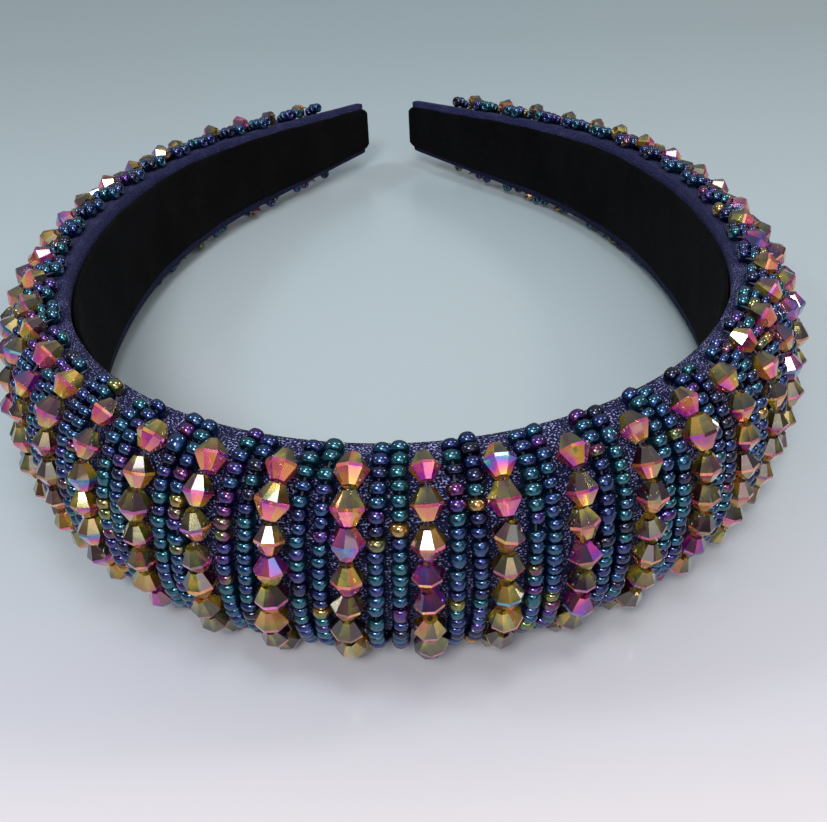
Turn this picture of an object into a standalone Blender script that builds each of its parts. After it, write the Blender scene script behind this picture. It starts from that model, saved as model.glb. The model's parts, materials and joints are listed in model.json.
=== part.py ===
"""Padded beaded headband: band core, foam pad, knitted cover, felt lining and sewn bead rows.

The band lies on its long edge. The crown points to -Y, the two tips point to +Y and Z is up.
Lengths are metres. A place on the band is (s, n, z): s runs along the lining from the middle of
the crown (negative to the left), n points outward through the padding and z across the band.
"""

import math

import bmesh
import bpy
from mathutils import Matrix, Vector

MM = 0.001

# Line of the lining's inner face, from the middle of the crown to one tip
HALF_LENGTH = 204 * MM
CURVE_STATIONS = (0.0, 0.25, 0.50, 0.75, 0.88, 1.0)
CURVE_RADII = (45.7 * MM, 57.9 * MM, 137 * MM, 75.7 * MM, math.inf, math.inf)
TRACE_STEP = 0.5 * MM

# Cross-section, as (at the crown, at a tip, power of the taper between them)
LINING_WIDTH = (21.0 * MM, 10.3 * MM, 2.35)
COVER_HALF_HEIGHT = (13.6 * MM, 6.2 * MM, 1.9)
COVER_DEPTH = (10.4 * MM, 6.0 * MM, 2.4)
COVER_DROP = (-1.2 * MM, 0.0, 1.0)
ROUNDNESS = 2.45

# Layers, from the inner face outward
GAP = 0.3 * MM
LINING_THICKNESS = 0.8 * MM
COVER_THICKNESS = 0.8 * MM
COVER_LIP = 2.6 * MM
CORE_THICKNESS = (1.6 * MM, 1.0 * MM, 1.0)
CORE_MARGIN = 2.0 * MM
TIP_FOLD = 1.2 * MM

# Flex lines, where the crown hands over to the two arms
FLEX_ROWS = 4.5
FLEX_GAP = 0.8 * MM

# Bead rows: a strand of crystals between two strands of seed beads, on one thread
ROW_PITCH = 9.7 * MM
ROWS_PER_SIDE = 22
CRYSTAL_RADIUS = 2.0 * MM
CRYSTAL_LENGTH = 4.3 * MM
CRYSTAL_NECK = 0.8 * MM
SEED_RADIUS = 0.95 * MM
SEED_OFFSET = 3.5 * MM
THREAD_RADIUS = 0.3 * MM
SEED_RIM = 2.2 * MM
CRYSTAL_RIM = 6.0 * MM
BEAD_CLEARANCE = 0.25 * MM

# Resting pose: the padded edge and the beads near the tips touch the table
REST_TILT = math.radians(2.5)

# Mesh detail
SECTION_STEPS = 12
STATION_STEP = 9.0 * MM
SEED_POINTS = 8

COLOURS = {
    "core": ((0.05, 0.05, 0.055), 0.45),
    "foam": ((0.62, 0.60, 0.55), 0.95),
    "cover": ((0.035, 0.035, 0.11), 0.90),
    "lining": ((0.006, 0.006, 0.007), 0.97),
    "beads": ((0.10, 0.13, 0.26), 0.25),
}


def clear_scene():
    for item in list(bpy.data.objects):
        bpy.data.objects.remove(item, do_unlink=True)


def make_material(name, metallic=0.0):
    colour, roughness = COLOURS[name]
    material = bpy.data.materials.new(name)
    material.use_nodes = True
    shader = material.node_tree.nodes["Principled BSDF"]
    shader.inputs["Base Color"].default_value = (*colour, 1.0)
    shader.inputs["Roughness"].default_value = roughness
    shader.inputs["Metallic"].default_value = metallic
    return material


# ---- The line of the band ---------------------------------------------------------------


def curvature(s):
    """Curvature of the inner face, changing steadily between the stations."""
    place = min(abs(s) / HALF_LENGTH, 1.0)
    for i in range(1, len(CURVE_STATIONS)):
        if place <= CURVE_STATIONS[i]:
            break
    before, after = 1 / CURVE_RADII[i - 1], 1 / CURVE_RADII[i]
    share = (place - CURVE_STATIONS[i - 1]) / (CURVE_STATIONS[i] - CURVE_STATIONS[i - 1])
    return before + (after - before) * share


def trace_line():
    """(x, y, heading) every TRACE_STEP along one half of the inner face."""
    x = y = heading = 0.0
    line = [(x, y, heading)]
    for i in range(round(HALF_LENGTH / TRACE_STEP)):
        turn = curvature((i + 0.5) * TRACE_STEP) * TRACE_STEP
        x += TRACE_STEP * math.cos(heading + turn / 2)
        y += TRACE_STEP * math.sin(heading + turn / 2)
        heading += turn
        line.append((x, y, heading))
    return line


LINE = trace_line()


def line_at(s):
    """Inner face at s: x, y and heading, mirrored for the left half."""
    at = min(abs(s), HALF_LENGTH) / TRACE_STEP
    i = min(int(at), len(LINE) - 2)
    share = at - i
    x, y, heading = (a + (b - a) * share for a, b in zip(LINE[i], LINE[i + 1]))
    side = math.copysign(1.0, s)
    return side * x, y, side * heading


def point(s, n, z):
    """Place on the band as a vector."""
    x, y, heading = line_at(s)
    return Vector((x + math.sin(heading) * n, y - math.cos(heading) * n, z))


def taper(size, s):
    crown, tip, power = size
    return crown + (tip - crown) * (abs(s) / HALF_LENGTH) ** power


def s_of_bead(along):
    """s of a bead row, from its distance along the outside of the cover."""
    left = abs(along)
    s = 0.0
    while left > 0 and s < HALF_LENGTH:
        left -= TRACE_STEP * (1 + curvature(s) * (taper(COVER_DEPTH, s) + CRYSTAL_RADIUS))
        s += TRACE_STEP
    return math.copysign(s, along)


# ---- Cross-sections ---------------------------------------------------------------------


def bulge(s, inset, angle):
    """(n, z) on the padded outside at an angle from -90 to 90 degrees, set in by inset."""
    rim = LINING_THICKNESS + GAP
    depth = taper(COVER_DEPTH, s) - rim - inset
    height = taper(COVER_HALF_HEIGHT, s) - inset
    across, up = math.cos(angle), math.sin(angle)
    n = rim + depth * max(across, 0.0) ** (2 / ROUNDNESS)
    z = height * math.copysign(abs(up) ** (2 / ROUNDNESS), up)
    return n, z + taper(COVER_DROP, s)


def bulge_line(s, inset, floor):
    """Outline of the padded side from the lower rim to the upper one, kept above floor."""
    outline = []
    for i in range(SECTION_STEPS + 1):
        n, z = bulge(s, inset, math.pi * (i / SECTION_STEPS - 0.5))
        outline.append((max(n, floor), z))
    return outline


def lining_section(s):
    half = taper(LINING_WIDTH, s) / 2
    return [(0, -half), (LINING_THICKNESS, -half), (LINING_THICKNESS, half), (0, half)]


def cover_section(s):
    """C shape: the padded side and a lip folded in behind the lining at each rim."""
    rim = LINING_THICKNESS + GAP
    lip = rim + COVER_THICKNESS
    edge = taper(LINING_WIDTH, s) / 2 - COVER_LIP
    outside = bulge_line(s, 0.0, rim)
    inside = bulge_line(s, COVER_THICKNESS, lip)
    lower_lip = [(rim, -edge)]
    upper_lip = [(rim, edge), (lip, edge)]
    return lower_lip + outside + upper_lip + inside[::-1] + [(lip, -edge)]


def core_section(s):
    start = LINING_THICKNESS + COVER_THICKNESS + 2 * GAP
    back = start + taper(CORE_THICKNESS, s)
    half = taper(LINING_WIDTH, s) / 2 - CORE_MARGIN
    return [(start, -half), (back, -half), (back, half), (start, half)]


def foam_section(s):
    floor = LINING_THICKNESS + COVER_THICKNESS + taper(CORE_THICKNESS, s) + 3 * GAP
    return bulge_line(s, COVER_THICKNESS + 2 * GAP, floor)


def fold_section(s):
    return bulge_line(s, 0.0, LINING_THICKNESS + GAP)


# ---- Building objects -------------------------------------------------------------------


def add_mesh(name, mesh, material, body):
    item = bpy.data.objects.new(name, mesh)
    item.data.materials.append(material)
    bpy.data.collections["headband"].objects.link(item)
    item.parent = body
    item.matrix_parent_inverse = Matrix.Translation(-body.location)
    return item


def stations(start, end):
    """Evenly spaced places, an odd number of steps, so the crown's middle is a flat facet."""
    count = 2 * int((end - start) / STATION_STEP / 2) + 1
    return [start + (end - start) * i / count for i in range(count + 1)]


def loft(name, section, start, end, material, body):
    """Solid that follows the band from start to end, with a section that changes on the way."""
    mesh = bmesh.new()
    rings = []
    for s in stations(start, end):
        rings.append([mesh.verts.new(point(s, n, z)) for n, z in section(s)])
    size = len(rings[0])
    for near, far in zip(rings, rings[1:]):
        for i in range(size):
            j = (i + 1) % size
            mesh.faces.new((near[i], near[j], far[j], far[i]))
    mesh.faces.new(rings[0][::-1])
    mesh.faces.new(rings[-1])
    bmesh.ops.remove_doubles(mesh, verts=mesh.verts, dist=0.01 * MM)
    bmesh.ops.recalc_face_normals(mesh, faces=mesh.faces)
    data = bpy.data.meshes.new(name)
    mesh.to_mesh(data)
    mesh.free()
    return add_mesh(name, data, material, body)


def add_pivot(name, s, parent):
    """Empty on a flex line's axis: upright, at the outside of the beads."""
    pivot = bpy.data.objects.new(name, None)
    pivot.location = point(s, taper(COVER_DEPTH, s) + 2 * CRYSTAL_RADIUS, 0.0)
    pivot.empty_display_size = 10 * MM
    bpy.data.collections["headband"].objects.link(pivot)
    pivot.parent = parent
    return pivot


# ---- Bead rows --------------------------------------------------------------------------


def surface_walk(s, lift):
    """Points (arc, n, z) down the padded side, lifted off the cover by lift."""
    steps = 120
    outline = [bulge(s, -lift, math.pi * (0.5 - i / steps)) for i in range(steps + 1)]
    walk = [(0.0, *outline[0])]
    for before, after in zip(outline, outline[1:]):
        walk.append((walk[-1][0] + math.dist(before, after), *after))
    return walk


def on_walk(walk, arc):
    for before, after in zip(walk, walk[1:]):
        if arc <= after[0]:
            break
    share = (arc - before[0]) / (after[0] - before[0])
    return tuple(a + (b - a) * share for a, b in zip(before[1:], after[1:]))


def seed_strand(along):
    """Curve points of one seed strand, from the upper rim to the lower one."""
    s = s_of_bead(along)
    walk = surface_walk(s, SEED_RADIUS + BEAD_CLEARANCE)
    length = walk[-1][0]
    strand = []
    for i in range(SEED_POINTS):
        arc = SEED_RIM + (length - 2 * SEED_RIM) * i / (SEED_POINTS - 1)
        strand.append((point(s, *on_walk(walk, arc)), SEED_RADIUS))
    return strand


def crystal_strand(along):
    """Curve points of one crystal strand: wide at each girdle, narrow between crystals."""
    s = s_of_bead(along)
    walk = surface_walk(s, CRYSTAL_RADIUS + BEAD_CLEARANCE)
    length = walk[-1][0]
    count = int((length - 2 * CRYSTAL_RIM) / CRYSTAL_LENGTH) + 1
    first = (length - (count - 1) * CRYSTAL_LENGTH) / 2
    strand = []
    for i in range(2 * count + 1):
        arc = first + (i - 1) * CRYSTAL_LENGTH / 2
        radius = CRYSTAL_RADIUS if i % 2 else CRYSTAL_NECK
        strand.append((point(s, *on_walk(walk, arc)), radius))
    return strand


def thread_turn(along, side, upper):
    """Thread from a seed strand to the crystal strand beside it, round the row's end."""
    turn = []
    for share, rim in ((0.75, 0.2 * MM), (0.30, 0.6 * MM)):
        s = s_of_bead(along + side * SEED_OFFSET * share)
        walk = surface_walk(s, THREAD_RADIUS + BEAD_CLEARANCE)
        arc = rim if upper else walk[-1][0] - rim
        turn.append((point(s, *on_walk(walk, arc)), THREAD_RADIUS))
    return turn


def bead_row(index, material, body):
    """One thread that runs up a seed strand, down the crystals and up the next seed strand."""
    along = index * ROW_PITCH
    path = seed_strand(along - SEED_OFFSET)[::-1]
    path += thread_turn(along, -1, True)
    path += crystal_strand(along)
    path += thread_turn(along, 1, False)[::-1]
    path += seed_strand(along + SEED_OFFSET)[::-1]
    name = f"bead_row_{index + ROWS_PER_SIDE + 1:02d}"
    curve = bpy.data.curves.new(name, "CURVE")
    curve.dimensions = "3D"
    curve.bevel_depth = 1.0
    curve.bevel_resolution = 0
    curve.use_fill_caps = True
    spline = curve.splines.new("POLY")
    spline.points.add(len(path) - 1)
    for spot, (place, radius) in zip(spline.points, path):
        spot.co = (*place, 1.0)
        spot.radius = radius
    return add_mesh(name, curve, material, body)


# ---- Assembly ---------------------------------------------------------------------------


def build_segment(side, start, end, materials, body):
    """Lining, cover, core and foam of one stretch of the band."""
    loft(f"lining_{side}", lining_section, start, end, materials["lining"], body)
    loft(f"cover_{side}", cover_section, start, end, materials["cover"], body)
    loft(f"band_core_{side}", core_section, start, end, materials["core"], body)
    loft(f"foam_pad_{side}", foam_section, start, end, materials["foam"], body)


def build():
    clear_scene()
    collection = bpy.data.collections.new("headband")
    bpy.context.scene.collection.children.link(collection)
    materials = {name: make_material(name) for name in COLOURS}

    flex = s_of_bead(FLEX_ROWS * ROW_PITCH)
    last = HALF_LENGTH - TIP_FOLD - GAP
    rest = bpy.data.objects.new("rest_pose", None)
    collection.objects.link(rest)
    left = add_pivot("left_flex_pivot", -flex, rest)
    right = add_pivot("right_flex_pivot", flex, rest)

    near, far = flex - FLEX_GAP / 2, flex + FLEX_GAP / 2
    build_segment("crown", -near, near, materials, rest)
    build_segment("left", -last, -far, materials, left)
    build_segment("right", far, last, materials, right)
    fold = HALF_LENGTH - TIP_FOLD
    loft("tip_fold_left", fold_section, -HALF_LENGTH, -fold, materials["cover"], left)
    loft("tip_fold_right", fold_section, fold, HALF_LENGTH, materials["cover"], right)

    for index in range(-ROWS_PER_SIDE, ROWS_PER_SIDE + 1):
        if abs(index) < FLEX_ROWS:
            body = rest
        else:
            body = left if index < 0 else right
        bead_row(index, materials["beads"], body)

    rest.rotation_euler = (-REST_TILT, 0.0, 0.0)
    bpy.context.view_layer.update()
    low, high = bounds(collection)
    rest.location = (0.0, -(low.y + high.y) / 2, -low.z)


def bounds(collection):
    """Lowest and highest corners of everything built."""
    shapes = bpy.context.evaluated_depsgraph_get()
    spots = []
    for item in collection.objects:
        if item.type == "EMPTY":
            continue
        solid = item.evaluated_get(shapes)
        mesh = solid.to_mesh()
        spots += [item.matrix_world @ spot.co for spot in mesh.vertices]
        solid.to_mesh_clear()
    low = Vector(min(spot[axis] for spot in spots) for axis in range(3))
    high = Vector(max(spot[axis] for spot in spots) for axis in range(3))
    return low, high


build()
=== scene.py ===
"""Looks of the padded beaded headband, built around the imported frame.

A place on the band is (s, n, z): s runs along the lining from the middle of the crown (negative
to the left), n points outward through the padding and z across the band. Lengths are metres.
"""

import json
import math

import bpy
import numpy as np
from mathutils import Matrix, Vector


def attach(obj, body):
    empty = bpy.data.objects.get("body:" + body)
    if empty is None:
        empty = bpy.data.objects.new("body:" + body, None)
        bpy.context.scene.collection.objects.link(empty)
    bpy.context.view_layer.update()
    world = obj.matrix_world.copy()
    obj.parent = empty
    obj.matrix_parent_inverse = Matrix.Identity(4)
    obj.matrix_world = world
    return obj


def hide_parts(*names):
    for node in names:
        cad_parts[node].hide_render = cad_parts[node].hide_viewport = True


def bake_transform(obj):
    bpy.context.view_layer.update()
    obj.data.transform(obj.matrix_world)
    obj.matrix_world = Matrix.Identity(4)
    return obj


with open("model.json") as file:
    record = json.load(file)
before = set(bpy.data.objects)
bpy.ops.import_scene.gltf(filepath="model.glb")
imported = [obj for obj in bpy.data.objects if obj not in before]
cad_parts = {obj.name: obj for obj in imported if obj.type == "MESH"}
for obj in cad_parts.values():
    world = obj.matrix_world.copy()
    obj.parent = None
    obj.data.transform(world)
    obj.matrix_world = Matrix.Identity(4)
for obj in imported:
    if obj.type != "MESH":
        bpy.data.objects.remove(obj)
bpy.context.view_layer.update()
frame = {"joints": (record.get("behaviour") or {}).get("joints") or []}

MM = 0.001
RNG = np.random.default_rng(21)

# ---- Dimensions shared with the frame ---------------------------------------------------

HALF_LENGTH = 204 * MM
CURVE_STATIONS = (0.0, 0.25, 0.50, 0.75, 0.88, 1.0)
CURVATURES = (1 / 0.0457, 1 / 0.0579, 1 / 0.137, 1 / 0.0757, 0.0, 0.0)

# Cross-section, as (at the crown, at a tip, power of the taper between them)
LINING_WIDTH = (21.0 * MM, 10.3 * MM, 2.35)
COVER_HALF_HEIGHT = (13.6 * MM, 6.2 * MM, 1.9)
COVER_DEPTH = (10.4 * MM, 6.0 * MM, 2.4)
COVER_DROP = (-1.2 * MM, 0.0, 1.0)
CORE_THICKNESS = (1.6 * MM, 1.0 * MM, 1.0)
ROUNDNESS = 2.45

GAP = 0.3 * MM
LINING_THICKNESS = 0.8 * MM
COVER_THICKNESS = 0.8 * MM
COVER_LIP = 2.6 * MM
CORE_MARGIN = 2.0 * MM

FLEX_ROWS = 4.5
ROW_PITCH = 9.7 * MM
ROWS_PER_SIDE = 22
SEED_OFFSET = 3.5 * MM
BEAD_REACH = 4.0 * MM

# The knit cover's mesh, and how far the cloth may swell between the sewn strands
COVER_END = HALF_LENGTH - 1.5 * MM
COVER_STEP = 1.0 * MM
COVER_POINTS = 49
CLOTH_SCALE = 25.0
CLOTH_PRESSURE = 20.0
CLOTH_FRAMES = 20
PUFF_LIMIT = 0.45 * MM

# ---- Beads ------------------------------------------------------------------------------

CRYSTAL_RADIUS = 2.07 * MM
CRYSTAL_LENGTH = 4.0 * MM
CRYSTAL_TAPER = ((20 * MM, 60 * MM), (1.0, 0.93))
CRYSTAL_PITCH = 4.45 * MM
CRYSTAL_RIM = (5.3 * MM, 3.6 * MM, 1.0)
CRYSTAL_SIDES = 8
CRYSTAL_END = 0.44
CRYSTAL_GIRDLE = 0.10
SEED_RADIUS = 1.2 * MM
SEED_LENGTH = 1.56 * MM
SEED_PITCH = 1.62 * MM
SEED_RIM = (2.9 * MM, 1.3 * MM, 0.8)
TUBE_SHARE = 0.05
TUBE_STRETCH = 1.5
HOLE_RADIUS = 0.38 * MM
THREAD_RADIUS = 0.17 * MM

# Rows each side of the middle, around the flex line, that go to bend() and are left unattached
BENT_ROWS = 8

# Film phase of each kind of crystal at its upper end, above and below its girdle and at its
# lower end, and how common each kind is
FAMILIES = (
    (0.22, 0.10, 0.62, 0.32),
    (0.34, 0.20, 0.56, 0.38),
    (0.66, 0.74, 0.54, 0.30),
    (0.20, 0.28, 0.50, 0.58),
    (0.12, 0.05, 0.44, 0.34),
    (0.30, 0.24, 0.92, 0.34),
    (0.58, 0.68, 0.84, 0.60),
)
FAMILY_SHARES = (0.26, 0.20, 0.15, 0.12, 0.13, 0.06, 0.08)

# Light of the room at the horizon and overhead, and the tints of its patches
ROOM_STRENGTH = 0.72
ROOM_LEVELS = ((0.13, 0.15, 0.20), (1.00, 1.00, 1.00))
ROOM_TINTS = ((0.38, (0.66, 0.83, 1.00)), (0.50, (1.0, 1.0, 1.0)), (0.60, (1.00, 0.80, 0.86)))

# Name, place, diameter (m), power (W) and colour of each lamp, all turned to the band
LAMP_TARGET = (0.0, -0.02, 0.01)
LAMPS = (
    ("lamp_ceiling", (0.08, -0.14, 0.80), 0.26, 1.5, (0.96, 0.98, 1.0)),
    ("lamp_left", (-0.60, 0.06, 0.62), 0.14, 1.3, (0.62, 0.96, 1.0)),
    ("lamp_right", (0.62, 0.10, 0.55), 0.14, 1.3, (1.0, 0.94, 0.74)),
    ("lamp_front", (-0.14, -0.56, 0.58), 0.25, 4.6, (1.0, 0.97, 0.95)),
    ("lamp_low", (0.34, -1.10, 0.60), 1.00, 4.3, (1.0, 0.96, 0.97)),
)

# Camera in the band's own frame
CAMERA_PLACE = (-2.6 * MM, -99.2 * MM, 80.4 * MM)
CAMERA_PITCH = math.radians(35.25)
CAMERA_YAW = math.radians(-3.28)
CAMERA_ROLL = math.radians(-1.62)
CAMERA_LENS = 43.53
CAMERA_SHIFT = (-0.0384, 0.0478)


# ---- The line of the band ---------------------------------------------------------------

TRACE = np.linspace(0.0, HALF_LENGTH, 1633)


def taper(size, s):
    """A (crown, tip, power) size at distance s from the middle of the crown."""
    crown, tip, power = size
    return crown + (tip - crown) * (np.abs(s) / HALF_LENGTH) ** power


def trace_line():
    """x, y and heading of the inner face along one half, and the distance along the beads."""
    step = TRACE[1] - TRACE[0]
    middle = (TRACE[:-1] + TRACE[1:]) / 2
    bend = np.interp(middle / HALF_LENGTH, CURVE_STATIONS, CURVATURES)
    heading = np.concatenate([[0.0], np.cumsum(bend * step)])
    half_way = (heading[:-1] + heading[1:]) / 2
    x = np.concatenate([[0.0], np.cumsum(step * np.cos(half_way))])
    y = np.concatenate([[0.0], np.cumsum(step * np.sin(half_way))])
    outside = step * (1 + bend * (taper(COVER_DEPTH, middle) + BEAD_REACH / 2))
    along = np.concatenate([[0.0], np.cumsum(outside)])
    return x, y, heading, along


LINE_X, LINE_Y, LINE_HEADING, LINE_ALONG = trace_line()


def s_of_bead(along):
    """s on the lining of a row that lies at distance along on the outside of the band."""
    return np.sign(along) * np.interp(np.abs(along), LINE_ALONG, TRACE)


def band_points(s, n, z):
    """Points in the band's own frame."""
    s, n, z = np.broadcast_arrays(np.asarray(s, float), n, z)
    side = np.where(s < 0, -1.0, 1.0)
    heading = np.interp(np.abs(s), TRACE, LINE_HEADING)
    x = np.interp(np.abs(s), TRACE, LINE_X) + np.sin(heading) * n
    y = np.interp(np.abs(s), TRACE, LINE_Y) - np.cos(heading) * n
    return np.stack([side * x, y, z], -1)


def rest_matrix():
    """The band's own frame in the row frame, from the left flex joint's place and axis."""
    joint = next(j for j in frame["joints"] if j["name"] == "left_arm_flex")
    axis = Vector(joint["axis"])
    turn = Matrix.Rotation(-math.atan2(axis.y, axis.z), 4, "X")
    flex = -float(s_of_bead(FLEX_ROWS * ROW_PITCH))
    reach = float(taper(COVER_DEPTH, flex)) + BEAD_REACH
    pivot = turn @ Vector(band_points(flex, reach, 0.0))
    return Matrix.Translation(Vector(joint["pos_m"]) - pivot) @ turn


REST = rest_matrix()
REST_NP = np.array(REST)


def to_row(points):
    return points @ REST_NP[:3, :3].T + REST_NP[:3, 3]


def place(s, n, z):
    return to_row(band_points(s, n, z))


# ---- Cross-sections ---------------------------------------------------------------------


def bulge(s, inset, angle):
    """(n, z) on the padded outside at an angle from -90 to 90 degrees, set in by inset."""
    rim = LINING_THICKNESS + GAP
    depth = taper(COVER_DEPTH, s) - rim - inset
    height = taper(COVER_HALF_HEIGHT, s) - inset
    across = np.maximum(np.cos(angle), 0.0)
    up = np.sin(angle)
    n = rim + depth * across ** (2 / ROUNDNESS)
    z = height * np.sign(up) * np.abs(up) ** (2 / ROUNDNESS) + taper(COVER_DROP, s)
    return n, z


def walk(s, lift):
    """(arc, n, z) down the padded side at s, lifted off the cover by lift."""
    n, z = bulge(s, -lift, np.linspace(math.pi / 2, -math.pi / 2, 241))
    arc = np.concatenate([[0.0], np.cumsum(np.hypot(np.diff(n), np.diff(z)))])
    return arc, n, z


# ---- Mesh helpers -----------------------------------------------------------------------


def new_object(name, vertices, faces, materials, smooth=True, slots=None):
    mesh = bpy.data.meshes.new(name)
    mesh.from_pydata([tuple(v) for v in vertices], [], [tuple(f) for f in faces])
    for material in materials:
        mesh.materials.append(material)
    if slots is not None:
        mesh.polygons.foreach_set("material_index", np.asarray(slots, np.int32))
    shade = np.broadcast_to(np.asarray(smooth, bool), len(mesh.polygons))
    mesh.polygons.foreach_set("use_smooth", np.ascontiguousarray(shade))
    mesh.update()
    item = bpy.data.objects.new(name, mesh)
    bpy.context.scene.collection.objects.link(item)
    return item


def add_uv(item, uv_of_vertex):
    """UV map that measures the cloth in metres, so that weaves keep their real size."""
    mesh = item.data
    layer = mesh.uv_layers.new(name="cloth")
    corner = np.empty(len(mesh.loops), np.int32)
    mesh.loops.foreach_get("vertex_index", corner)
    layer.data.foreach_set("uv", np.asarray(uv_of_vertex, np.float32)[corner].ravel())


def loft_stations(end, step):
    """Evenly spaced stations, closer together over the last 3 mm before the end."""
    near_tip = end - 3 * MM
    even = np.linspace(0.0, near_tip, round(near_tip / step) + 1)
    return np.concatenate([even, near_tip + 3 * MM * np.array([0.3, 0.55, 0.75, 0.9, 1.0])])


def loft(name, section, side, material, step=1.5 * MM, end=HALF_LENGTH):
    """Closed solid along one half of the band; section(s) gives (n, z, cloth v) outlines."""
    stations = loft_stations(end, step)
    count = len(stations) - 1
    rings, uvs = [], []
    for s in stations:
        n, z, v = section(s)
        rings.append(place(side * max(s, 1e-9), n, z))
        uvs.append(np.stack([np.full_like(v, s * side), v], 1))
    size = len(rings[0])
    ring = np.arange(size)
    after = (ring + 1) % size
    faces = []
    for i in range(count):
        quad = np.stack([ring, after, after + size, ring + size], 1) + i * size
        faces.extend(quad[:, ::-1].tolist() if side > 0 else quad.tolist())
    first = ring.tolist()
    last = (ring + count * size).tolist()
    faces.append(first if side > 0 else first[::-1])
    faces.append(last[::-1] if side > 0 else last)
    item = new_object(name, np.concatenate(rings), faces, [material])
    add_uv(item, np.concatenate(uvs))
    return item


# ---- Materials --------------------------------------------------------------------------


class Nodes:
    """A material with a Principled shader and short calls for its node tree."""

    def __init__(self, name):
        self.material = bpy.data.materials.new(name)
        self.material.use_nodes = True
        self.tree = self.material.node_tree
        self.shader = self.tree.nodes["Principled BSDF"]

    def add(self, kind, values=(), **settings):
        node = self.tree.nodes.new(kind)
        for key, value in settings.items():
            setattr(node, key, value)
        for key, value in dict(values).items():
            if hasattr(value, "bl_idname") or isinstance(value, bpy.types.NodeSocket):
                self.tree.links.new(value, node.inputs[key])
            else:
                node.inputs[key].default_value = value
        return node

    def set(self, **values):
        for key, value in values.items():
            socket = self.shader.inputs[key.replace("_", " ")]
            if isinstance(value, bpy.types.NodeSocket):
                self.tree.links.new(value, socket)
            else:
                socket.default_value = value

    def math(self, operation, a, b=0.0):
        return self.add("ShaderNodeMath", {0: a, 1: b}, operation=operation).outputs[0]

    def attribute(self, name):
        return self.add("ShaderNodeAttribute", attribute_name=name).outputs["Fac"]

    def ramp(self, factor, stops):
        node = self.add("ShaderNodeValToRGB", {"Fac": factor})
        elements = node.color_ramp.elements
        while len(elements) < len(stops):
            elements.new(0.5)
        for element, (position, colour) in zip(elements, stops):
            element.position = position
            element.color = (*colour, 1.0)
        return node.outputs["Color"]

    def mix(self, factor, a, b, blend="MIX"):
        node = self.add("ShaderNodeMix", data_type="RGBA", blend_type=blend)
        for socket, value in zip((node.inputs[0], node.inputs[6], node.inputs[7]), (factor, a, b)):
            if isinstance(value, bpy.types.NodeSocket):
                self.tree.links.new(value, socket)
            else:
                socket.default_value = value
        return node.outputs[2]

    def remap(self, value, low, high, to_low, to_high):
        values = {0: value, 1: low, 2: high, 3: to_low, 4: to_high}
        return self.add("ShaderNodeMapRange", values).outputs[0]

    def bump(self, height, distance, strength=1.0):
        values = {"Height": height, "Distance": distance, "Strength": strength}
        node = self.add("ShaderNodeBump", values)
        self.tree.links.new(node.outputs["Normal"], self.shader.inputs["Normal"])


def cloth_vector(nodes, scale):
    """Cloth coordinates in metres, scaled so that one unit is one stitch."""
    uv = nodes.add("ShaderNodeUVMap", uv_map="cloth").outputs["UV"]
    return nodes.add("ShaderNodeVectorMath", {0: uv, 1: scale}, operation="MULTIPLY").outputs[0]


def knit_material():
    """Dark navy knit with a fine pale lavender fleck, from two twisted yarns."""
    nodes = Nodes("navy_fleck_knit")
    stitch = cloth_vector(nodes, (3600.0, 4400.0, 1.0))
    fleck = nodes.add("ShaderNodeTexNoise", {"Vector": stitch, "Scale": 1.0, "Detail": 2.0})
    broad = nodes.add("ShaderNodeTexNoise", {"Vector": stitch, "Scale": 0.08, "Detail": 3.0})
    cells = nodes.add("ShaderNodeTexVoronoi", {"Vector": stitch, "Scale": 0.9, "Randomness": 0.6})
    patches = nodes.math("MULTIPLY", broad.outputs["Fac"], 0.25)
    pale = nodes.math("ADD", fleck.outputs["Fac"], patches)
    stops = (
        (0.63, (0.003, 0.005, 0.030)),
        (0.70, (0.010, 0.012, 0.060)),
        (0.76, (0.340, 0.340, 0.620)),
    )
    along = nodes.add("ShaderNodeUVMap", uv_map="cloth").outputs["UV"]
    along = nodes.math("ABSOLUTE", nodes.add("ShaderNodeSeparateXYZ", {0: along}).outputs["X"])
    fade = nodes.remap(along, 0.030, 0.085, 1.0, 0.15)
    colour = nodes.mix(fade, (0.008, 0.010, 0.048, 1.0), nodes.ramp(pale, stops))
    rough = nodes.remap(fleck.outputs["Fac"], 0.3, 0.8, 0.95, 0.6)
    nodes.set(Base_Color=colour, Roughness=rough, Sheen_Weight=0.01)
    nodes.set(Sheen_Roughness=0.45, Specular_IOR_Level=0.15)
    height = nodes.math("SUBTRACT", fleck.outputs["Fac"], cells.outputs["Distance"])
    nodes.bump(height, 0.00025, 0.8)
    return nodes.material


def felt_material():
    """Near-black felt: matted fibres, a little dust-grey variation and a soft nap."""
    nodes = Nodes("black_felt")
    fibre = cloth_vector(nodes, (1500.0, 900.0, 1.0))
    fine = nodes.add("ShaderNodeTexNoise", {"Vector": fibre, "Scale": 1.0, "Detail": 4.0})
    fine.inputs["Distortion"].default_value = 1.5
    broad = nodes.add("ShaderNodeTexNoise", {"Vector": fibre, "Scale": 0.08, "Detail": 3.0})
    shade = nodes.math("ADD", fine.outputs["Fac"], broad.outputs["Fac"])
    stops = ((0.70, (0.0006, 0.0006, 0.0009)), (1.0, (0.0022, 0.0022, 0.0028)))
    colour = nodes.ramp(nodes.math("MULTIPLY", shade, 0.85), stops)
    nodes.set(Base_Color=colour, Roughness=nodes.remap(shade, 0.6, 1.3, 1.0, 0.85))
    nodes.set(Specular_IOR_Level=0.04, Sheen_Weight=0.008, Sheen_Roughness=0.6)
    nodes.bump(shade, 0.0003, 0.7)
    return nodes.material


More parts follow.
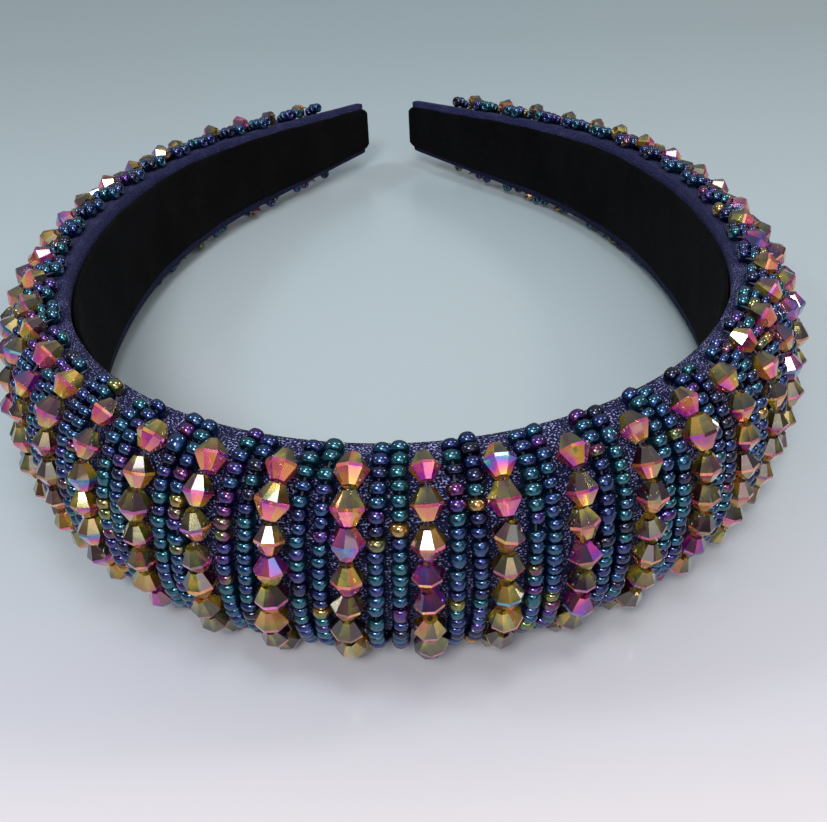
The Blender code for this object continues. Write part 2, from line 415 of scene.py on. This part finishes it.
def foam_material():
    """Open-cell foam, off-white; hidden under the knit."""
    nodes = Nodes("pad_foam")
    vector = cloth_vector(nodes, (900.0, 900.0, 1.0))
    cells = nodes.add("ShaderNodeTexVoronoi", {"Vector": vector, "Scale": 1.0})
    stops = ((0.1, (0.35, 0.33, 0.28)), (0.7, (0.68, 0.66, 0.60)))
    rough = nodes.remap(cells.outputs["Distance"], 0.1, 0.8, 1.0, 0.85)
    nodes.set(Base_Color=nodes.ramp(cells.outputs["Distance"], stops), Roughness=rough)
    nodes.bump(cells.outputs["Distance"], 0.0004)
    return nodes.material


def core_material():
    """Dark springy plastic with faint flow lines; hidden in the band."""
    nodes = Nodes("core_plastic")
    vector = cloth_vector(nodes, (120.0, 1200.0, 1.0))
    flow = nodes.add("ShaderNodeTexNoise", {"Vector": vector, "Scale": 1.0, "Detail": 3.0})
    stops = ((0.3, (0.035, 0.035, 0.04)), (0.7, (0.06, 0.06, 0.065)))
    rough = nodes.remap(flow.outputs["Fac"], 0.3, 0.7, 0.32, 0.5)
    nodes.set(Base_Color=nodes.ramp(flow.outputs["Fac"], stops), Roughness=rough)
    nodes.bump(flow.outputs["Fac"], 0.00005)
    return nodes.material


def seed_material():
    """Metallic blue-iris seed beads: navy and teal, with violet, green and bronze strays."""
    nodes = Nodes("iris_seed_bead")
    hue = nodes.attribute("tint_or_painted_light")
    where = nodes.add("ShaderNodeTexCoord").outputs["Object"]
    drift = nodes.add("ShaderNodeTexNoise", {"Vector": where, "Scale": 1100.0, "Detail": 1.0})
    shift = nodes.math("MULTIPLY", nodes.math("SUBTRACT", drift.outputs["Fac"], 0.5), 0.35)
    stops = (
        (0.00, (0.002, 0.004, 0.024)),
        (0.16, (0.003, 0.015, 0.110)),
        (0.30, (0.003, 0.043, 0.130)),
        (0.44, (0.006, 0.100, 0.120)),
        (0.55, (0.006, 0.035, 0.140)),
        (0.66, (0.040, 0.010, 0.150)),
        (0.76, (0.130, 0.014, 0.075)),
        (0.88, (0.090, 0.160, 0.045)),
        (1.00, (0.400, 0.200, 0.050)),
    )
    colour = nodes.ramp(nodes.math("ADD", hue, shift), stops)
    rough = nodes.remap(drift.outputs["Fac"], 0.3, 0.7, 0.06, 0.13)
    nodes.set(Base_Color=colour, Metallic=0.9, Roughness=rough)
    nodes.set(Coat_Weight=0.6, Coat_Roughness=0.03, Coat_IOR=1.6)
    nodes.bump(drift.outputs["Fac"], 0.00012, 0.5)
    return nodes.material


def crystal_material():
    """Coated crystal: every facet runs through its own part of a gold-pink-violet film."""
    nodes = Nodes("rainbow_crystal")
    where = nodes.add("ShaderNodeTexCoord").outputs["Object"]
    inner = nodes.add("ShaderNodeTexVoronoi", {"Vector": where, "Scale": 800.0})
    cell = nodes.add("ShaderNodeSeparateColor", {0: inner.outputs["Color"]}).outputs[0]
    drift = nodes.add("ShaderNodeTexNoise", {"Vector": where, "Scale": 420.0, "Detail": 1.0})
    shift = nodes.remap(cell, 0.0, 1.0, -0.05, 0.05)
    run = nodes.remap(drift.outputs["Fac"], 0.3, 0.7, -0.07, 0.07)
    phase = nodes.math("ADD", nodes.attribute("film"), nodes.math("ADD", shift, run))
    stops = (
        (0.00, (0.090, 0.018, 0.060)),
        (0.09, (0.160, 0.055, 0.045)),
        (0.19, (0.270, 0.330, 0.040)),
        (0.31, (0.900, 0.640, 0.050)),
        (0.42, (1.000, 0.340, 0.050)),
        (0.54, (1.000, 0.130, 0.260)),
        (0.64, (0.720, 0.030, 0.430)),
        (0.73, (0.360, 0.035, 0.650)),
        (0.83, (0.050, 0.140, 0.620)),
        (0.92, (0.030, 0.420, 0.460)),
        (1.00, (0.550, 0.800, 0.300)),
    )
    rough = nodes.remap(drift.outputs["Fac"], 0.3, 0.7, 0.03, 0.09)
    # Painted light and shade: the film colour is multiplied by each facet's painted brightness.
    painted_light = nodes.ramp(nodes.attribute("tint_or_painted_light"), ((0.0, (0.06, 0.05, 0.05)), (1.0, (1.0, 1.0, 1.0))))
    colour = nodes.mix(1.0, nodes.ramp(phase, stops), painted_light, "MULTIPLY")
    nodes.set(Base_Color=colour, Metallic=0.35, Roughness=rough)
    nodes.set(Coat_Weight=1.0, Coat_Roughness=0.02, Coat_IOR=1.7)
    nodes.set(Transmission_Weight=0.55, IOR=1.55)
    nodes.bump(cell, 0.00004, 0.25)
    return nodes.material


def thread_material():
    """Dark twisted beading thread."""
    nodes = Nodes("bead_thread")
    where = nodes.add("ShaderNodeTexCoord").outputs["Object"]
    ply = nodes.add("ShaderNodeTexWave", {"Vector": where, "Scale": 2500.0, "Distortion": 2.0})
    stops = ((0.2, (0.01, 0.01, 0.02)), (0.8, (0.05, 0.05, 0.09)))
    rough = nodes.remap(ply.outputs["Fac"], 0.2, 0.8, 0.8, 0.6)
    nodes.set(Base_Color=nodes.ramp(ply.outputs["Fac"], stops), Roughness=rough)
    nodes.bump(ply.outputs["Fac"], 0.00005, 0.5)
    return nodes.material


def table_material():
    """Pale satin table, cooler towards the back, with painted light just in front of the band."""
    nodes = Nodes("pale_table")
    where = nodes.add("ShaderNodeTexCoord").outputs["Object"]
    cloud = nodes.add("ShaderNodeTexNoise", {"Vector": where, "Scale": 2.2, "Detail": 1.0})
    depth = nodes.add("ShaderNodeSeparateXYZ", {0: where}).outputs["Y"]
    share = nodes.remap(depth, -0.2, 0.2, 0.0, 1.0)
    far = nodes.math("ADD", share, nodes.remap(cloud.outputs["Fac"], 0.3, 0.7, -0.04, 0.04))
    # Painted light: the bright stop at 0.23 lies just in front of the band, where its shadow
    # falls.
    stops = (
        (0.13, (0.400, 0.385, 0.415)),
        (0.23, (0.590, 0.540, 0.555)),
        (0.31, (0.420, 0.430, 0.475)),
        (0.42, (0.340, 0.400, 0.430)),
        (0.62, (0.325, 0.390, 0.420)),
        (1.00, (0.270, 0.340, 0.355)),
    )
    rough = nodes.remap(cloud.outputs["Fac"], 0.3, 0.7, 0.22, 0.32)
    nodes.set(Base_Color=nodes.ramp(far, stops), Roughness=rough)
    nodes.set(Specular_IOR_Level=0.5)
    return nodes.material


# ---- Bead shapes ------------------------------------------------------------------------


def seed_shape(segments=14):
    """Round seed bead about Z: quads only, closed, with its hole. Unit outer radius."""
    half = SEED_LENGTH / SEED_RADIUS / 2
    hole = HOLE_RADIUS / SEED_RADIUS
    profile = [
        (hole, -0.80 * half),
        (0.60, -half),
        (0.88, -0.72 * half),
        (1.00, -0.20 * half),
        (1.00, 0.20 * half),
        (0.88, 0.72 * half),
        (0.60, half),
        (hole, 0.80 * half),
    ]
    return turned(profile, segments)


def turned(profile, segments):
    turn = np.arange(segments) * 2 * math.pi / segments
    vertices = []
    for radius, height in profile:
        ring = [radius * np.cos(turn), radius * np.sin(turn), np.full(segments, height)]
        vertices.append(np.stack(ring, 1))
    faces = []
    size = len(profile)
    for i in range(size):
        j = (i + 1) % size
        for k in range(segments):
            m = (k + 1) % segments
            faces.append((i * segments + k, i * segments + m, j * segments + m, j * segments + k))
    return np.concatenate(vertices), np.array(faces)


def crystal_shape():
    """Bicone about Z with eight long facets to a side, a narrow girdle and cut-off ends."""
    half = CRYSTAL_LENGTH / CRYSTAL_RADIUS / 2
    hole = HOLE_RADIUS / CRYSTAL_RADIUS
    profile = [
        (hole, -half * 0.93),
        (CRYSTAL_END, -half),
        (1.0, -CRYSTAL_GIRDLE),
        (1.0, CRYSTAL_GIRDLE),
        (CRYSTAL_END, half),
        (hole, half * 0.93),
    ]
    return turned(profile, CRYSTAL_SIDES)


SEED = seed_shape()
CRYSTAL = crystal_shape()
CRYSTAL_SLOT, SEED_SLOT, THREAD_SLOT = 0, 1, 2


class Strands:
    """Collects the beads and thread of one row into one mesh."""

    def __init__(self):
        self.vertices, self.faces, self.slots, self.smooth = [], [], [], []
        # Per-corner values: each seed's hue, and on crystals each facet's painted light and shade.
        self.film, self.tint_or_painted_light = [], []
        self.count = 0

    def add(self, vertices, faces, slot, smooth, film, tint_or_painted_light):
        self.vertices.append(vertices)
        self.faces.append(faces + self.count)
        self.slots.append(np.full(len(faces), slot))
        self.smooth.append(np.full(len(faces), smooth))
        self.film.append(film)
        self.tint_or_painted_light.append(np.broadcast_to(tint_or_painted_light, len(faces) * 4))
        self.count += len(vertices)

    def finish(self, name, materials):
        item = new_object(
            name,
            np.concatenate(self.vertices),
            np.concatenate(self.faces).tolist(),
            materials,
            np.concatenate(self.smooth),
            np.concatenate(self.slots),
        )
        for key, values in (("film", self.film), ("tint_or_painted_light", self.tint_or_painted_light)):
            layer = item.data.attributes.new(key, "FLOAT", "CORNER")
            layer.data.foreach_set("value", np.concatenate(values).astype(np.float32))
        return item


def bead_axes(s, arc, path):
    """Axes of a bead at arc: across the band, outward, and along the thread (as columns)."""
    arcs, n, z = path
    ahead, behind = arc + 0.3 * MM, arc - 0.3 * MM
    dn = np.interp(ahead, arcs, n) - np.interp(behind, arcs, n)
    dz = np.interp(ahead, arcs, z) - np.interp(behind, arcs, z)
    here = band_points(s, np.interp(arc, arcs, n), np.interp(arc, arcs, z))
    there = band_points(s, np.interp(arc, arcs, n) + dn, np.interp(arc, arcs, z) + dz)
    along = there - here
    along /= np.linalg.norm(along)
    beside = band_points(s + 0.2 * MM, np.interp(arc, arcs, n), np.interp(arc, arcs, z)) - here
    beside -= along * (beside @ along)
    beside /= np.linalg.norm(beside)
    outward = np.cross(along, beside)
    return np.stack([beside, outward, along], 1), here


def tilted(axes, spread):
    """The same axes, leaning by a small random angle."""
    lean = RNG.normal(0.0, spread, 3)
    turn = Matrix.Rotation(float(np.linalg.norm(lean)), 3, Vector(lean) + Vector((1e-9, 0, 0)))
    return np.array(turn) @ axes


def rotated(shape, angle):
    c, s = math.cos(angle), math.sin(angle)
    return shape @ np.array([[c, -s, 0], [s, c, 0], [0, 0, 1]]).T


def resting(vertices):
    """A bead that would reach below the table top, lifted onto it."""
    vertices[:, 2] += max(0.0, -float(vertices[:, 2].min()))
    return vertices


def add_seed(strands, s, arc, path, tint_or_painted_light, stretch):
    axes, here = bead_axes(s, arc, path)
    axes = tilted(axes, 0.06)
    size = SEED_RADIUS * RNG.normal(1.0, 0.05)
    shape = rotated(SEED[0], RNG.uniform(0, 6.28)) * size
    shape[:, 2] *= stretch * np.clip(RNG.normal(1.0, 0.10), 0.75, 1.08) * SEED_RADIUS / size
    spot = here + axes @ (RNG.normal(0.0, 1.0, 3) * (0.06 * MM, 0.04 * MM, 0.02 * MM))
    vertices = resting(to_row(spot + shape @ axes.T))
    strands.add(vertices, SEED[1], SEED_SLOT, True, np.zeros(len(SEED[1]) * 4), tint_or_painted_light)


def crystal_family():
    """Where on the film a crystal lies: upper end, above and below the girdle, lower end."""
    return FAMILIES[int(RNG.choice(len(FAMILIES), p=FAMILY_SHARES))]


def facet_film(axes, shape):
    """Film phase at facet corners, with painted shade above the girdle and painted light below."""
    faces = CRYSTAL[1]
    up = 1.0 if axes[2, 2] > 0 else -1.0
    height = up * shape[faces][:, :, 2] * 2 / CRYSTAL_LENGTH
    high_end, high_girdle, low_girdle, low_end = crystal_family()
    above = height.mean(1) > CRYSTAL_GIRDLE
    near = np.where(above, high_girdle, low_girdle)[:, None]
    end = np.where(above, high_end, low_end)[:, None]
    phase = near + (end - near) * np.clip(np.abs(height), 0.0, 1.0)
    phase += RNG.normal(0.0, 0.06, len(faces))[:, None]
    phase += RNG.normal(0.0, 0.05, len(faces))[:, None] * np.array([-1.0, 1.0, 1.0, -1.0])
    # Painted light and shade: lower facets brighter, upper ones darker, brighter towards the ends.
    light = np.where(above, 0.18, 0.66) + RNG.normal(0.0, 0.28, len(faces))
    light = light[:, None] + 0.25 * np.abs(height)
    return np.clip(phase, 0.0, 1.0).ravel(), np.clip(light, 0.05, 1.0).ravel()


def add_crystal(strands, s, arc, path):
    axes, here = bead_axes(s, arc, path)
    axes = tilted(axes, 0.09)
    radius = CRYSTAL_RADIUS * float(np.interp(abs(s), *CRYSTAL_TAPER))
    shape = rotated(CRYSTAL[0], RNG.uniform(0, 6.28)) * radius * RNG.normal(1.0, 0.04)
    spot = here + axes @ (RNG.normal(0.0, 1.0, 3) * (0.10 * MM, 0.05 * MM, 0.06 * MM))
    vertices = resting(to_row(spot + shape @ axes.T))
    film, light = facet_film(axes, shape)
    # The crystal's painted light and shade go into the same per-corner values as the seeds' hue.
    strands.add(vertices, CRYSTAL[1], CRYSTAL_SLOT, False, film, light)


def add_thread(strands, points):
    """Thin round thread through the points, closed at its ends by a small cap."""
    sides = 4
    turn = np.arange(sides) * 2 * math.pi / sides
    forward = np.gradient(points, axis=0)
    forward /= np.linalg.norm(forward, axis=1)[:, None] + 1e-12
    first = np.cross(forward, (0.31, 0.83, 0.47))
    first /= np.linalg.norm(first, axis=1)[:, None]
    second = np.cross(forward, first)
    rings = []
    radii = np.full(len(points), THREAD_RADIUS)
    radii[[0, -1]] *= 0.05
    for point, a, b, radius in zip(points, first, second, radii):
        rings.append(point + radius * (np.outer(np.cos(turn), a) + np.outer(np.sin(turn), b)))
    ring = np.arange(sides)
    after = (ring + 1) % sides
    faces = []
    for i in range(len(points) - 1):
        faces.append(np.stack([ring, after, after + sides, ring + sides], 1) + i * sides)
    last = (len(points) - 1) * sides
    faces.append(np.array([[3, 2, 1, 0]]))
    faces.append(np.array([[0, 1, 2, 3]]) + last)
    faces = np.concatenate(faces)
    film = np.zeros(len(faces) * 4)
    strands.add(to_row(np.concatenate(rings)), faces, THREAD_SLOT, True, film, 0.0)


# ---- Bead rows --------------------------------------------------------------------------


def lean(along, arc):
    """Rows left of the middle lean towards it at the top, as they were sewn in the photo."""
    share = math.exp(-(((along / ROW_PITCH + 3.0) / 2.7) ** 2))
    return 2.3 * MM * share * (1 - arc / (23 * MM))


def wander(along, length, amount):
    """A smooth sideways drift along a strand, as hand sewing leaves."""
    knots = RNG.normal(0.0, amount, 5)
    spots = np.linspace(0, length, 5)
    return lambda arc: float(np.interp(arc, spots, knots)) + lean(along, arc)


def strand_points(along, drift, path, arcs):
    spots = []
    for arc in arcs:
        s = float(s_of_bead(along + drift(arc)))
        n = np.interp(arc, path[0], path[1])
        z = np.interp(arc, path[0], path[2])
        spots.append(band_points(s, n, z))
    return np.array(spots)


def seed_tints():
    """Tints of one strand: runs of like beads with strays among them."""
    middle = RNG.uniform(0.10, 0.60)
    while True:
        if RNG.random() < 0.24:
            yield float(RNG.uniform(0.0, 1.0))
        else:
            yield float(np.clip(RNG.normal(middle, 0.16), 0.0, 0.85))


def seed_strand(strands, along):
    s = float(s_of_bead(along))
    path = walk(s, SEED_RADIUS + 0.05 * MM)
    length = path[0][-1]
    drift = wander(along, length, 0.14 * MM)
    tints = seed_tints()
    rim = float(taper(SEED_RIM, s))
    start = rim + RNG.uniform(-0.6, 0.6) * MM
    stop = length - rim + RNG.uniform(-0.6, 0.6) * MM
    arcs = []
    arc, stretch = start, 1.0
    while arc < stop:
        arcs.append(arc)
        here = float(s_of_bead(along + drift(arc)))
        add_seed(strands, here, arc, path, next(tints), stretch)
        following = TUBE_STRETCH if RNG.random() < TUBE_SHARE else 1.0
        arc += SEED_PITCH * RNG.normal(1.0, 0.03) * (stretch + following) / 2
        stretch = following
        if RNG.random() < 0.02:
            arc += 0.6 * MM
    ends = np.linspace(arcs[0] - 1.0 * MM, arcs[-1] + 1.0 * MM, 40)
    add_thread(strands, strand_points(along, drift, path, ends))


def crystal_strand(strands, along):
    s = float(s_of_bead(along))
    path = walk(s, CRYSTAL_RADIUS * 0.96)
    length = path[0][-1]
    drift = wander(along, length, 0.20 * MM)
    count = int((length - 2 * float(taper(CRYSTAL_RIM, s))) / CRYSTAL_PITCH) + 1
    spare = (length - (count - 1) * CRYSTAL_PITCH) / 2
    first = spare + RNG.uniform(-0.9, 0.9) * MM
    arcs = first + np.arange(count) * CRYSTAL_PITCH
    for arc in arcs:
        arc += RNG.normal(0.0, 0.12 * MM)
        add_crystal(strands, float(s_of_bead(along + drift(arc))), arc, path)
    ends = np.linspace(arcs[0] - 3.2 * MM, arcs[-1] + 3.2 * MM, 50)
    add_thread(strands, strand_points(along, drift, path, ends))


def bead_row(index, materials):
    along = index * ROW_PITCH
    strands = Strands()
    seed_strand(strands, along - SEED_OFFSET)
    crystal_strand(strands, along)
    seed_strand(strands, along + SEED_OFFSET)
    number = index + ROWS_PER_SIDE + 1
    item = strands.finish(f"beads_{number:02d}", materials)
    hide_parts(f"bead_row_{number:02d}")
    if index and abs(index) <= BENT_ROWS:
        bend(item, 1 if index > 0 else -1)
    elif index:
        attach(item, "right_arm" if index > 0 else "left_arm")
    else:
        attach(item, "crown")


# ---- Cloth, felt, foam and core ---------------------------------------------------------


def bend(item, side):
    """Bakes a piece's placement into its mesh; the pivot on one side's flex line is not used."""
    flex = side * float(s_of_bead(FLEX_ROWS * ROW_PITCH))
    reach = float(taper(COVER_DEPTH, flex)) + BEAD_REACH
    pivot = place(flex, reach, 0.0)
    ahead = place(flex + side * 1 * MM, reach, 0.0) - pivot
    ahead /= np.linalg.norm(ahead)
    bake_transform(item)


def outline_length(n, z):
    return np.concatenate([[0.0], np.cumsum(np.hypot(np.diff(n), np.diff(z)))])


def lining_outline(s):
    """Felt strip with softly rounded edges that drift a little, and rounded corners."""
    half = float(taper(LINING_WIDTH, s)) / 2
    corner = max(0.0, s - (HALF_LENGTH - 2.6 * MM)) / (2.6 * MM)
    half -= 1.7 * MM * (1 - math.sqrt(max(0.0, 1 - corner**2.2)))
    upper = half + 0.10 * MM * math.sin(s * 190) + 0.06 * MM * math.sin(s * 610 + 1)
    lower = half + 0.10 * MM * math.sin(s * 170 + 2) + 0.06 * MM * math.sin(s * 530)
    face = np.linspace(-lower + 0.25 * MM, upper - 0.25 * MM, 17)
    z = np.concatenate([[-lower], face, [upper], face[::-2]])
    front = 0.03 * MM * np.sin(np.linspace(0, 3, 17) + s * 260)
    back = np.full(9, LINING_THICKNESS)
    n = np.concatenate([[0.35 * MM], front, [0.35 * MM], back])
    return n, z, z


def puff(cover, side):
    """Swell the stretched knit a little between the sewn strands, by cloth simulation."""
    rest = np.empty(len(cover.data.vertices) * 3)
    cover.data.vertices.foreach_get("co", rest)
    rest = rest.reshape(-1, 3)
    strands = np.arange(-ROWS_PER_SIDE, ROWS_PER_SIDE + 1)[:, None] * ROW_PITCH
    strands = s_of_bead((strands + np.array([-SEED_OFFSET, 0.0, SEED_OFFSET])).ravel())
    stations = side * loft_stations(COVER_END, COVER_STEP)
    sewn = np.abs(stations[:, None] - strands[None, :]).min(1) < 0.6 * COVER_STEP
    sewn[:2] = True
    sewn[-4:] = True
    ring = len(rest) // len(stations)
    inside = np.ones(ring, bool)
    inside[5 : 2 + COVER_POINTS - 3] = False
    pinned = (sewn[:, None] | inside[None, :]).ravel()
    sheet = bpy.data.objects.new("cloth_work", cover.data.copy())
    sheet.data.transform(Matrix.Scale(CLOTH_SCALE, 4))
    bpy.context.scene.collection.objects.link(sheet)
    group = sheet.vertex_groups.new(name="sewn")
    group.add(np.flatnonzero(pinned).tolist(), 1.0, "REPLACE")
    cloth = sheet.modifiers.new("cloth", "CLOTH")
    cloth.settings.vertex_group_mass = "sewn"
    cloth.settings.use_pressure = True
    cloth.settings.uniform_pressure_force = CLOTH_PRESSURE
    cloth.settings.quality = 4
    cloth.settings.effector_weights.gravity = 0.0
    cloth.point_cache.frame_end = CLOTH_FRAMES
    for frame_number in range(1, CLOTH_FRAMES + 1):
        bpy.context.scene.frame_set(frame_number)
    swollen = sheet.evaluated_get(bpy.context.evaluated_depsgraph_get()).data
    shape = np.empty(len(swollen.vertices) * 3)
    swollen.vertices.foreach_get("co", shape)
    move = shape.reshape(-1, 3) / CLOTH_SCALE - rest
    far = np.linalg.norm(move, axis=1, keepdims=True)
    move *= np.minimum(1.0, PUFF_LIMIT / (far + 1e-12))
    cover.data.vertices.foreach_set("co", (rest + move).ravel())
    cover.data.update()
    bpy.context.scene.frame_set(1)
    bpy.data.objects.remove(sheet)


def cover_outline(s):
    rim = LINING_THICKNESS + GAP
    lip = rim + COVER_THICKNESS
    edge = taper(LINING_WIDTH, s) / 2 - COVER_LIP
    angle = np.linspace(-math.pi / 2, math.pi / 2, COVER_POINTS)
    out_n, out_z = bulge(s, 0.0, angle)
    in_n, in_z = bulge(s, COVER_THICKNESS, angle[::-3])
    in_n = np.maximum(in_n, lip)
    n = np.concatenate([[lip, rim], out_n, [rim, lip], in_n])
    z = np.concatenate([[-edge, -edge], out_z, [edge, edge], in_z])
    return n, z, outline_length(n, z)


def core_outline(s):
    start = LINING_THICKNESS + COVER_THICKNESS + 2 * GAP
    back = start + taper(CORE_THICKNESS, s)
    half = taper(LINING_WIDTH, s) / 2 - CORE_MARGIN
    n = np.array([start, back, back, start])
    z = np.array([-half, -half, half, half])
    return n, z, z


def foam_outline(s):
    floor = LINING_THICKNESS + COVER_THICKNESS + taper(CORE_THICKNESS, s) + 3 * GAP
    n, z = bulge(s, COVER_THICKNESS + 2 * GAP, np.linspace(-math.pi / 2, math.pi / 2, 25))
    return np.maximum(n, floor), z, z


def fold_outline(s):
    n, z = bulge(s, 0.0, np.linspace(-math.pi / 2, math.pi / 2, 33))
    return n, z, outline_length(n, z)


def band_layers():
    knit, felt, foam, core = knit_material(), felt_material(), foam_material(), core_material()
    layers = (
        ("lining", lining_outline, felt, "lining", HALF_LENGTH - 0.2 * MM, 1.5 * MM),
        ("cover", cover_outline, knit, "cover", COVER_END, COVER_STEP),
        ("foam_pad", foam_outline, foam, "foam", COVER_END, 1.5 * MM),
        ("band_core", core_outline, core, "core", COVER_END, 1.5 * MM),
    )
    for side, word in ((-1, "left"), (1, "right")):
        for node, outline, material, slot, end, step in layers:
            item = loft(f"{node}_{word}_half", outline, side, material, step, end)
            if node == "cover":
                puff(item, side)
            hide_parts(f"{node}_{word}", f"{node}_crown")
            bend(item, side)
        fold = tip_fold(word, side, knit)
        declare_soft()


def declare_soft():
    """Measures the felt strip's outline and the knit wrap's girth, and uses neither."""
    stations = np.linspace(0.0, HALF_LENGTH, 69)
    felt = np.array([lining_outline(s)[1] for s in stations])
    girths = np.array([cover_outline(s)[2][COVER_POINTS + 3] for s in stations])


def tip_fold(word, side, knit):
    """The cover's end, folded over the tip: a soft domed cap."""
    steps = 6
    rings, uvs = [], []
    for i in range(steps + 1):
        share = i / steps
        s = side * (HALF_LENGTH - 1.2 * MM + 1.2 * MM * math.sin(share * math.pi / 2))
        n, z, v = fold_outline(abs(s))
        shrink = 0.55 + 0.45 * math.cos(share * math.pi / 2) ** 0.7
        middle = n.mean()
        rings.append(place(s, middle + (n - middle) * shrink, z * shrink))
        uvs.append(np.stack([np.full_like(v, s), v], 1))
    size = len(rings[0])
    ring = np.arange(size)
    after = (ring + 1) % size
    faces = []
    for i in range(steps):
        quad = np.stack([ring, after, after + size, ring + size], 1) + i * size
        faces.extend(quad[:, ::-1].tolist() if side > 0 else quad.tolist())
    first, last = ring.tolist(), (ring + steps * size).tolist()
    faces.append(first if side > 0 else first[::-1])
    faces.append(last[::-1] if side > 0 else last)
    item = new_object(f"tip_fold_{word}_cloth", np.concatenate(rings), faces, [knit])
    add_uv(item, np.concatenate(uvs))
    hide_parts(f"tip_fold_{word}")
    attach(item, f"{word}_arm")
    return item


# ---- Stage, light and camera ------------------------------------------------------------


def add_table():
    size = 6.0
    corners = [(-size, -size, 0), (size, -size, 0), (size, size, 0), (-size, size, 0)]
    table = new_object("table", corners, [(0, 1, 2, 3)], [table_material()], smooth=False)


def add_light(name, position, size, power, colour):
    light = bpy.data.lights.new(name, "AREA")
    light.shape = "DISK"
    light.size = size
    light.energy = power
    light.color = colour
    item = bpy.data.objects.new(name, light)
    item.location = position
    item.rotation_mode = "QUATERNION"
    item.rotation_quaternion = (Vector(position) - Vector(LAMP_TARGET)).to_track_quat("Z", "Y")
    item.visible_camera = False
    bpy.context.scene.collection.objects.link(item)


def add_world():
    """A dim room that brightens overhead, with soft tinted patches for the beads to pick up."""
    world = bpy.data.worlds.new("room")
    world.use_nodes = True
    tree = world.node_tree
    back = tree.nodes["Background"]
    where = tree.nodes.new("ShaderNodeTexCoord").outputs["Generated"]
    split = tree.nodes.new("ShaderNodeSeparateXYZ")
    tree.links.new(where, split.inputs[0])
    rise = tree.nodes.new("ShaderNodeValToRGB")
    tree.links.new(split.outputs["Z"], rise.inputs["Fac"])
    for element, position, colour in zip(rise.color_ramp.elements, (0.0, 1.0), ROOM_LEVELS):
        element.position = position
        element.color = (*colour, 1.0)
    patch = tree.nodes.new("ShaderNodeTexNoise")
    patch.inputs["Scale"].default_value = 2.3
    tree.links.new(where, patch.inputs["Vector"])
    tint_or_painted_light = tree.nodes.new("ShaderNodeValToRGB")
    tree.links.new(patch.outputs["Fac"], tint_or_painted_light.inputs["Fac"])
    while len(tint_or_painted_light.color_ramp.elements) < len(ROOM_TINTS):
        tint_or_painted_light.color_ramp.elements.new(0.5)
    for element, (position, colour) in zip(tint_or_painted_light.color_ramp.elements, ROOM_TINTS):
        element.position = position
        element.color = (*colour, 1.0)
    both = tree.nodes.new("ShaderNodeMix")
    both.data_type = "RGBA"
    both.blend_type = "MULTIPLY"
    both.inputs[0].default_value = 1.0
    tree.links.new(rise.outputs["Color"], both.inputs[6])
    tree.links.new(tint_or_painted_light.outputs["Color"], both.inputs[7])
    tree.links.new(both.outputs[2], back.inputs["Color"])
    back.inputs["Strength"].default_value = ROOM_STRENGTH
    bpy.context.scene.world = world


def add_camera():
    data = bpy.data.cameras.new("camera")
    data.lens = CAMERA_LENS
    data.sensor_width = 36
    data.shift_x, data.shift_y = CAMERA_SHIFT
    data.clip_start = 0.005
    camera = bpy.data.objects.new("camera", data)
    bpy.context.scene.collection.objects.link(camera)
    turn = Matrix.Rotation(CAMERA_YAW, 4, "Z")
    turn @= Matrix.Rotation(math.pi / 2 - CAMERA_PITCH, 4, "X")
    turn @= Matrix.Rotation(CAMERA_ROLL, 4, "Z")
    camera.matrix_world = REST @ Matrix.Translation(CAMERA_PLACE) @ turn
    bpy.context.scene.camera = camera


def main():
    add_camera()
    add_world()
    add_table()
    band_layers()
    beads = [crystal_material(), seed_material(), thread_material()]
    for index in range(-ROWS_PER_SIDE, ROWS_PER_SIDE + 1):
        bead_row(index, beads)
    for lamp in LAMPS:
        add_light(*lamp)
    bpy.context.scene.view_settings.view_transform = "Standard"


main()
